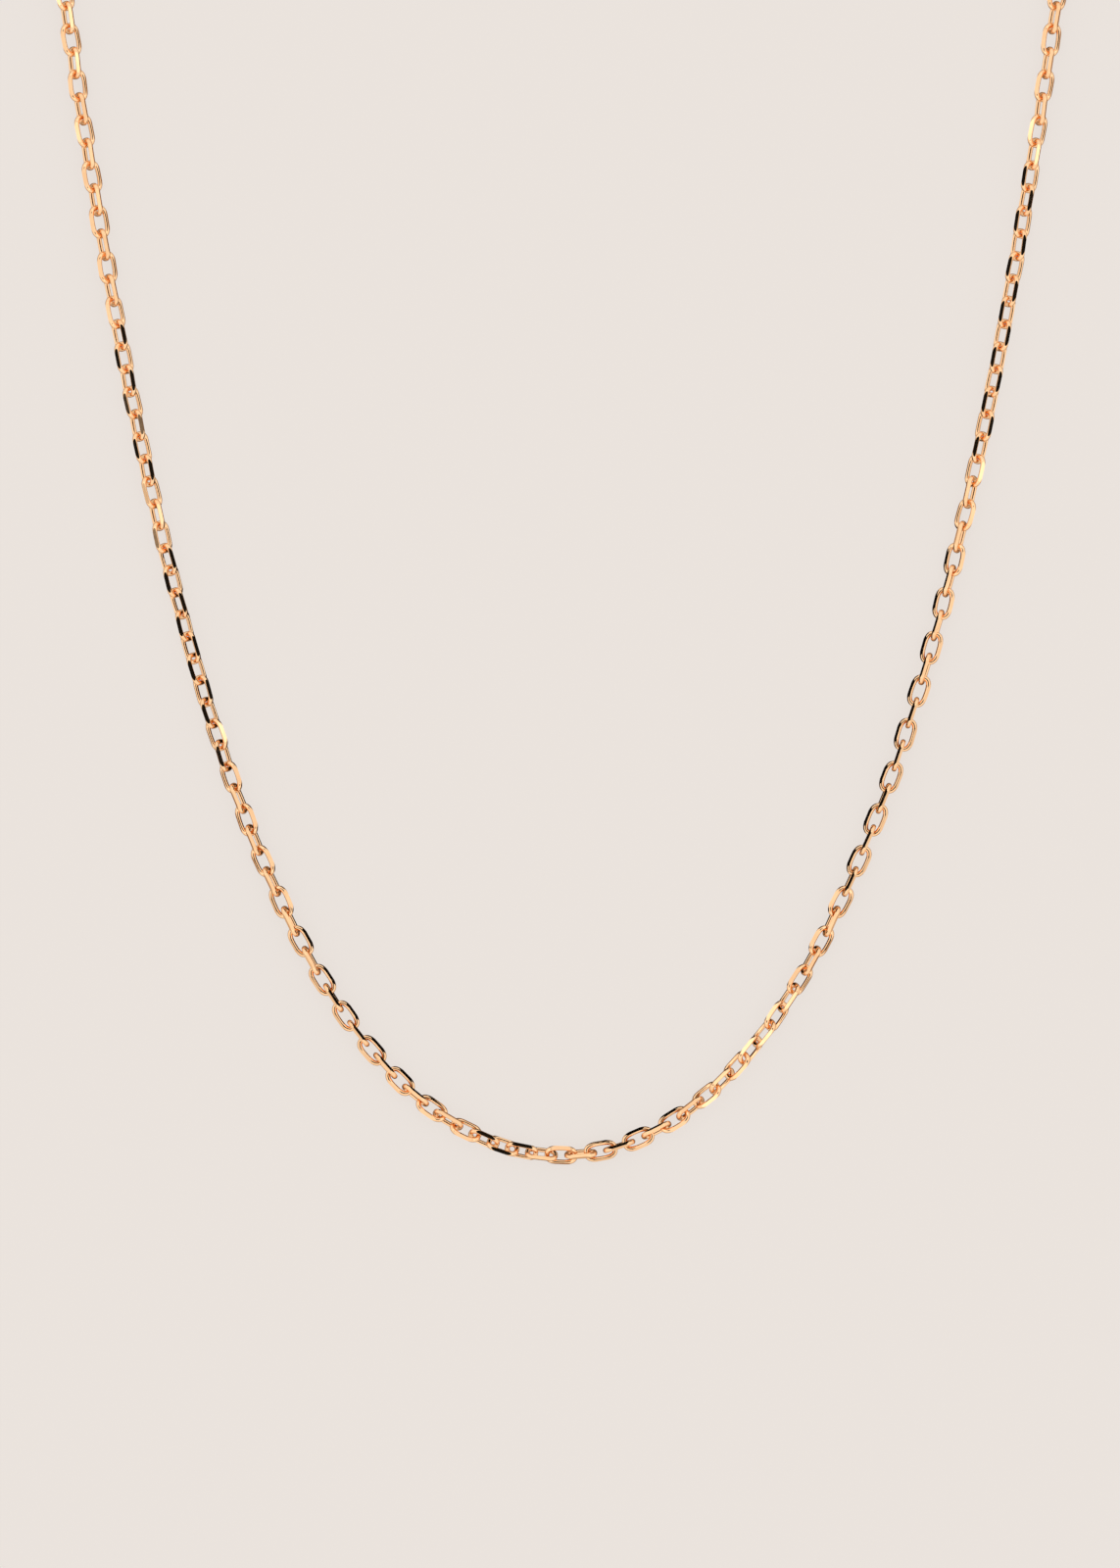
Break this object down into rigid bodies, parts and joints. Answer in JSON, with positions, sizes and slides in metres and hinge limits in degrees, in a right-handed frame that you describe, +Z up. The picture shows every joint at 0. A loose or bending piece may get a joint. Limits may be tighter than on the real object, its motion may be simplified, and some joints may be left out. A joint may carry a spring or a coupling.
{
  "type": "chain necklace",
  "caption": "Fine cable chain necklace of oval diamond-cut links with a lobster clasp and an end ring, laid flat and unclasped in a U.",
  "frame": {"origin": "middle of the bounding box's underside: the table that the chain lies on is z = 0", "axes": "+X to the wearer's left and viewer's right, +Y from the bottom of the U to its two ends, +Z up from the table"},
  "size_m": [0.1166, 0.211, 0.0025],
  "materials": {
    "chain_gold": "polished yellow-rose gold, diamond-cut facets",
    "fitting_gold": "polished yellow-rose gold, cast and tumbled",
    "spring_steel": "drawn wire"
  },
  "bodies": {
    "chain_centre": {"chain_centre": "chain_gold"},
    "chain_left_01": {"chain_left_01": "chain_gold"},
    "chain_left_02": {"chain_left_02": "chain_gold"},
    "chain_left_03": {"chain_left_03": "chain_gold"},
    "chain_left_04": {"chain_left_04": "chain_gold"},
    "chain_left_05": {"chain_left_05": "chain_gold"},
    "chain_left_06": {"chain_left_06": "chain_gold"},
    "chain_left_07": {"chain_left_07": "chain_gold"},
    "chain_left_08": {"chain_left_08": "chain_gold"},
    "chain_left_09": {"chain_left_09": "chain_gold"},
    "chain_left_10": {"chain_left_10": "chain_gold"},
    "chain_left_11": {"chain_left_11": "chain_gold"},
    "chain_left_12": {"chain_left_12": "chain_gold"},
    "chain_left_13": {"chain_left_13": "chain_gold"},
    "chain_left_14": {"chain_left_14": "chain_gold"},
    "chain_left_15": {"chain_left_15": "chain_gold"},
    "chain_left_16": {"chain_left_16": "chain_gold"},
    "chain_left_17": {"chain_left_17": "chain_gold"},
    "chain_left_18": {"chain_left_18": "chain_gold"},
    "chain_left_19": {"chain_left_19": "chain_gold"},
    "chain_left_20": {"chain_left_20": "chain_gold"},
    "chain_left_21": {"chain_left_21": "chain_gold"},
    "chain_left_22": {"chain_left_22": "chain_gold"},
    "chain_left_23": {"chain_left_23": "chain_gold"},
    "chain_left_24": {"chain_left_24": "chain_gold"},
    "chain_left_25": {"chain_left_25": "chain_gold"},
    "chain_right_01": {"chain_right_01": "chain_gold"},
    "chain_right_02": {"chain_right_02": "chain_gold"},
    "chain_right_03": {"chain_right_03": "chain_gold"},
    "chain_right_04": {"chain_right_04": "chain_gold"},
    "chain_right_05": {"chain_right_05": "chain_gold"},
    "chain_right_06": {"chain_right_06": "chain_gold"},
    "chain_right_07": {"chain_right_07": "chain_gold"},
    "chain_right_08": {"chain_right_08": "chain_gold"},
    "chain_right_09": {"chain_right_09": "chain_gold"},
    "chain_right_10": {"chain_right_10": "chain_gold"},
    "chain_right_11": {"chain_right_11": "chain_gold"},
    "chain_right_12": {"chain_right_12": "chain_gold"},
    "chain_right_13": {"chain_right_13": "chain_gold"},
    "chain_right_14": {"chain_right_14": "chain_gold"},
    "chain_right_15": {"chain_right_15": "chain_gold"},
    "chain_right_16": {"chain_right_16": "chain_gold"},
    "chain_right_17": {"chain_right_17": "chain_gold"},
    "chain_right_18": {"chain_right_18": "chain_gold"},
    "chain_right_19": {"chain_right_19": "chain_gold"},
    "chain_right_20": {"chain_right_20": "chain_gold"},
    "chain_right_21": {"chain_right_21": "chain_gold"},
    "chain_right_22": {"chain_right_22": "chain_gold"},
    "chain_right_23": {"chain_right_23": "chain_gold"},
    "chain_right_24": {"chain_right_24": "chain_gold"},
    "chain_right_25": {"chain_right_25": "chain_gold"},
    "clasp_ring": {"clasp_ring": "fitting_gold"},
    "clasp": {"clasp_body": "fitting_gold", "clasp_pin": "fitting_gold", "clasp_spring": "spring_steel"},
    "clasp_lever": {"clasp_lever": "fitting_gold"},
    "end_ring": {"end_ring": "fitting_gold"}
  },
  "joints": [
    {"name": "lever_open", "type": "hinge", "parent": "clasp", "child": "clasp_lever", "pos_m": [0.05482, 0.09969, 0.00115], "axis": [0, 0, -1], "range_deg": [0, 25]},
    {"name": "clasp_swing", "type": "hinge", "parent": "clasp_ring", "child": "clasp", "pos_m": [0.05521, 0.09504, 0.00115], "axis": [0, 0, 1], "range_deg": [-20, 20]},
    {"name": "clasp_ring_swing", "type": "hinge", "parent": "chain_right_25", "child": "clasp_ring", "pos_m": [0.0548, 0.09364, 0.0007], "axis": [0, 0, 1], "range_deg": [-18, 18]},
    {"name": "end_ring_swing", "type": "hinge", "parent": "chain_left_25", "child": "end_ring", "pos_m": [-0.05623, 0.09364, 0.00089], "axis": [0, 0, 1], "range_deg": [-30, 30]},
    {"name": "bend_left_01", "type": "hinge", "parent": "chain_centre", "child": "chain_left_01", "pos_m": [-0.00547, -0.10407, 0.00067], "axis": [0, 0, 1], "range_deg": [-24, 24]},
    {"name": "bend_left_02", "type": "hinge", "parent": "chain_left_01", "child": "chain_left_02", "pos_m": [-0.01216, -0.10079, 0.00085], "axis": [0, 0, 1], "range_deg": [-24, 24]},
    {"name": "bend_left_03", "type": "hinge", "parent": "chain_left_02", "child": "chain_left_03", "pos_m": [-0.01781, -0.09554, 0.00092], "axis": [0, 0, -1], "range_deg": [-24, 24]},
    {"name": "bend_left_04", "type": "hinge", "parent": "chain_left_03", "child": "chain_left_04", "pos_m": [-0.02247, -0.08909, 0.00093], "axis": [0, 0, -1], "range_deg": [-24, 24]},
    {"name": "bend_left_05", "type": "hinge", "parent": "chain_left_04", "child": "chain_left_05", "pos_m": [-0.02634, -0.08193, 0.00091], "axis": [0, 0, -1], "range_deg": [-24, 24]},
    {"name": "bend_left_06", "type": "hinge", "parent": "chain_left_05", "child": "chain_left_06", "pos_m": [-0.0296, -0.07433, 0.00087], "axis": [0, 0, -1], "range_deg": [-24, 24]},
    {"name": "bend_left_07", "type": "hinge", "parent": "chain_left_06", "child": "chain_left_07", "pos_m": [-0.0324, -0.06647, 0.0008], "axis": [0, 0, 1], "range_deg": [-24, 24]},
    {"name": "bend_left_08", "type": "hinge", "parent": "chain_left_07", "child": "chain_left_08", "pos_m": [-0.03485, -0.05842, 0.00069], "axis": [0, 0, 1], "range_deg": [-24, 24]},
    {"name": "bend_left_09", "type": "hinge", "parent": "chain_left_08", "child": "chain_left_09", "pos_m": [-0.03689, -0.05069, 0.00071], "axis": [0, 0, 1], "range_deg": [-30, 30]},
    {"name": "bend_left_10", "type": "hinge", "parent": "chain_left_09", "child": "chain_left_10", "pos_m": [-0.03884, -0.04244, 0.00075], "axis": [0, 0, 1], "range_deg": [-30, 30]},
    {"name": "bend_left_11", "type": "hinge", "parent": "chain_left_10", "child": "chain_left_11", "pos_m": [-0.04059, -0.03413, 0.00072], "axis": [0, 0, -1], "range_deg": [-30, 30]},
    {"name": "bend_left_12", "type": "hinge", "parent": "chain_left_11", "child": "chain_left_12", "pos_m": [-0.04219, -0.02577, 0.00082], "axis": [0, 0, -1], "range_deg": [-30, 30]},
    {"name": "bend_left_13", "type": "hinge", "parent": "chain_left_12", "child": "chain_left_13", "pos_m": [-0.04366, -0.01737, 0.00084], "axis": [0, 0, -1], "range_deg": [-30, 30]},
    {"name": "bend_left_14", "type": "hinge", "parent": "chain_left_13", "child": "chain_left_14", "pos_m": [-0.04501, -0.00894, 0.00084], "axis": [0, 0, -1], "range_deg": [-30, 30]},
    {"name": "bend_left_15", "type": "hinge", "parent": "chain_left_14", "child": "chain_left_15", "pos_m": [-0.04627, -0.00049, 0.00082], "axis": [0, 0, 1], "range_deg": [-30, 30]},
    {"name": "bend_left_16", "type": "hinge", "parent": "chain_left_15", "child": "chain_left_16", "pos_m": [-0.04744, 0.00797, 0.0008], "axis": [0, 0, 1], "range_deg": [-30, 30]},
    {"name": "bend_left_17", "type": "hinge", "parent": "chain_left_16", "child": "chain_left_17", "pos_m": [-0.04854, 0.01646, 0.00078], "axis": [0, 0, 1], "range_deg": [-30, 30]},
    {"name": "bend_left_18", "type": "hinge", "parent": "chain_left_17", "child": "chain_left_18", "pos_m": [-0.04958, 0.02495, 0.00075], "axis": [0, 0, 1], "range_deg": [-30, 30]},
    {"name": "bend_left_19", "type": "hinge", "parent": "chain_left_18", "child": "chain_left_19", "pos_m": [-0.05056, 0.03346, 0.00072], "axis": [0, 0, -1], "range_deg": [-30, 30]},
    {"name": "bend_left_20", "type": "hinge", "parent": "chain_left_19", "child": "chain_left_20", "pos_m": [-0.05148, 0.04197, 0.00069], "axis": [0, 0, -1], "range_deg": [-30, 30]},
    {"name": "bend_left_21", "type": "hinge", "parent": "chain_left_20", "child": "chain_left_21", "pos_m": [-0.05241, 0.05094, 0.00067], "axis": [0, 0, -1], "range_deg": [-30, 30]},
    {"name": "bend_left_22", "type": "hinge", "parent": "chain_left_21", "child": "chain_left_22", "pos_m": [-0.05324, 0.05947, 0.00071], "axis": [0, 0, -1], "range_deg": [-30, 30]},
    {"name": "bend_left_23", "type": "hinge", "parent": "chain_left_22", "child": "chain_left_23", "pos_m": [-0.05404, 0.06801, 0.00077], "axis": [0, 0, 1], "range_deg": [-30, 30]},
    {"name": "bend_left_24", "type": "hinge", "parent": "chain_left_23", "child": "chain_left_24", "pos_m": [-0.0548, 0.07655, 0.00082], "axis": [0, 0, 1], "range_deg": [-30, 30]},
    {"name": "bend_left_25", "type": "hinge", "parent": "chain_left_24", "child": "chain_left_25", "pos_m": [-0.05553, 0.08509, 0.00086], "axis": [0, 0, 1], "range_deg": [-30, 30]},
    {"name": "bend_right_01", "type": "hinge", "parent": "chain_centre", "child": "chain_right_01", "pos_m": [0.00361, -0.10418, 0.00093], "axis": [0, 0, 1], "range_deg": [-24, 24]},
    {"name": "bend_right_02", "type": "hinge", "parent": "chain_right_01", "child": "chain_right_02", "pos_m": [0.01036, -0.10104, 0.00086], "axis": [0, 0, 1], "range_deg": [-24, 24]},
    {"name": "bend_right_03", "type": "hinge", "parent": "chain_right_02", "child": "chain_right_03", "pos_m": [0.01608, -0.09588, 0.00068], "axis": [0, 0, -1], "range_deg": [-24, 24]},
    {"name": "bend_right_04", "type": "hinge", "parent": "chain_right_03", "child": "chain_right_04", "pos_m": [0.02104, -0.08909, 0.00076], "axis": [0, 0, -1], "range_deg": [-24, 24]},
    {"name": "bend_right_05", "type": "hinge", "parent": "chain_right_04", "child": "chain_right_05", "pos_m": [0.02491, -0.08193, 0.00089], "axis": [0, 0, -1], "range_deg": [-24, 24]},
    {"name": "bend_right_06", "type": "hinge", "parent": "chain_right_05", "child": "chain_right_06", "pos_m": [0.02817, -0.07433, 0.00093], "axis": [0, 0, -1], "range_deg": [-24, 24]},
    {"name": "bend_right_07", "type": "hinge", "parent": "chain_right_06", "child": "chain_right_07", "pos_m": [0.03097, -0.06647, 0.00093], "axis": [0, 0, 1], "range_deg": [-24, 24]},
    {"name": "bend_right_08", "type": "hinge", "parent": "chain_right_07", "child": "chain_right_08", "pos_m": [0.03342, -0.05842, 0.00092], "axis": [0, 0, 1], "range_deg": [-24, 24]},
    {"name": "bend_right_09", "type": "hinge", "parent": "chain_right_08", "child": "chain_right_09", "pos_m": [0.03557, -0.05026, 0.00089], "axis": [0, 0, 1], "range_deg": [-30, 30]},
    {"name": "bend_right_10", "type": "hinge", "parent": "chain_right_09", "child": "chain_right_10", "pos_m": [0.0375, -0.042, 0.00078], "axis": [0, 0, 1], "range_deg": [-30, 30]},
    {"name": "bend_right_11", "type": "hinge", "parent": "chain_right_10", "child": "chain_right_11", "pos_m": [0.03925, -0.03369, 0.00067], "axis": [0, 0, -1], "range_deg": [-30, 30]},
    {"name": "bend_right_12", "type": "hinge", "parent": "chain_right_11", "child": "chain_right_12", "pos_m": [0.04076, -0.02577, 0.00069], "axis": [0, 0, -1], "range_deg": [-30, 30]},
    {"name": "bend_right_13", "type": "hinge", "parent": "chain_right_12", "child": "chain_right_13", "pos_m": [0.04223, -0.01737, 0.00075], "axis": [0, 0, -1], "range_deg": [-30, 30]},
    {"name": "bend_right_14", "type": "hinge", "parent": "chain_right_13", "child": "chain_right_14", "pos_m": [0.04358, -0.00894, 0.00083], "axis": [0, 0, -1], "range_deg": [-30, 30]},
    {"name": "bend_right_15", "type": "hinge", "parent": "chain_right_14", "child": "chain_right_15", "pos_m": [0.04484, -0.00049, 0.00084], "axis": [0, 0, 1], "range_deg": [-30, 30]},
    {"name": "bend_right_16", "type": "hinge", "parent": "chain_right_15", "child": "chain_right_16", "pos_m": [0.04601, 0.00797, 0.00084], "axis": [0, 0, 1], "range_deg": [-30, 30]},
    {"name": "bend_right_17", "type": "hinge", "parent": "chain_right_16", "child": "chain_right_17", "pos_m": [0.04711, 0.01646, 0.00083], "axis": [0, 0, 1], "range_deg": [-30, 30]},
    {"name": "bend_right_18", "type": "hinge", "parent": "chain_right_17", "child": "chain_right_18", "pos_m": [0.04815, 0.02495, 0.00082], "axis": [0, 0, 1], "range_deg": [-30, 30]},
    {"name": "bend_right_19", "type": "hinge", "parent": "chain_right_18", "child": "chain_right_19", "pos_m": [0.04913, 0.03346, 0.0008], "axis": [0, 0, -1], "range_deg": [-30, 30]},
    {"name": "bend_right_20", "type": "hinge", "parent": "chain_right_19", "child": "chain_right_20", "pos_m": [0.05005, 0.04197, 0.00078], "axis": [0, 0, -1], "range_deg": [-30, 30]},
    {"name": "bend_right_21", "type": "hinge", "parent": "chain_right_20", "child": "chain_right_21", "pos_m": [0.05093, 0.0505, 0.00076], "axis": [0, 0, -1], "range_deg": [-30, 30]},
    {"name": "bend_right_22", "type": "hinge", "parent": "chain_right_21", "child": "chain_right_22", "pos_m": [0.05177, 0.05903, 0.00074], "axis": [0, 0, -1], "range_deg": [-30, 30]},
    {"name": "bend_right_23", "type": "hinge", "parent": "chain_right_22", "child": "chain_right_23", "pos_m": [0.05257, 0.06756, 0.00071], "axis": [0, 0, 1], "range_deg": [-30, 30]},
    {"name": "bend_right_24", "type": "hinge", "parent": "chain_right_23", "child": "chain_right_24", "pos_m": [0.05333, 0.0761, 0.00068], "axis": [0, 0, 1], "range_deg": [-30, 30]},
    {"name": "bend_right_25", "type": "hinge", "parent": "chain_right_24", "child": "chain_right_25", "pos_m": [0.0541, 0.08509, 0.00068], "axis": [0, 0, 1], "range_deg": [-30, 30]}
  ]
}
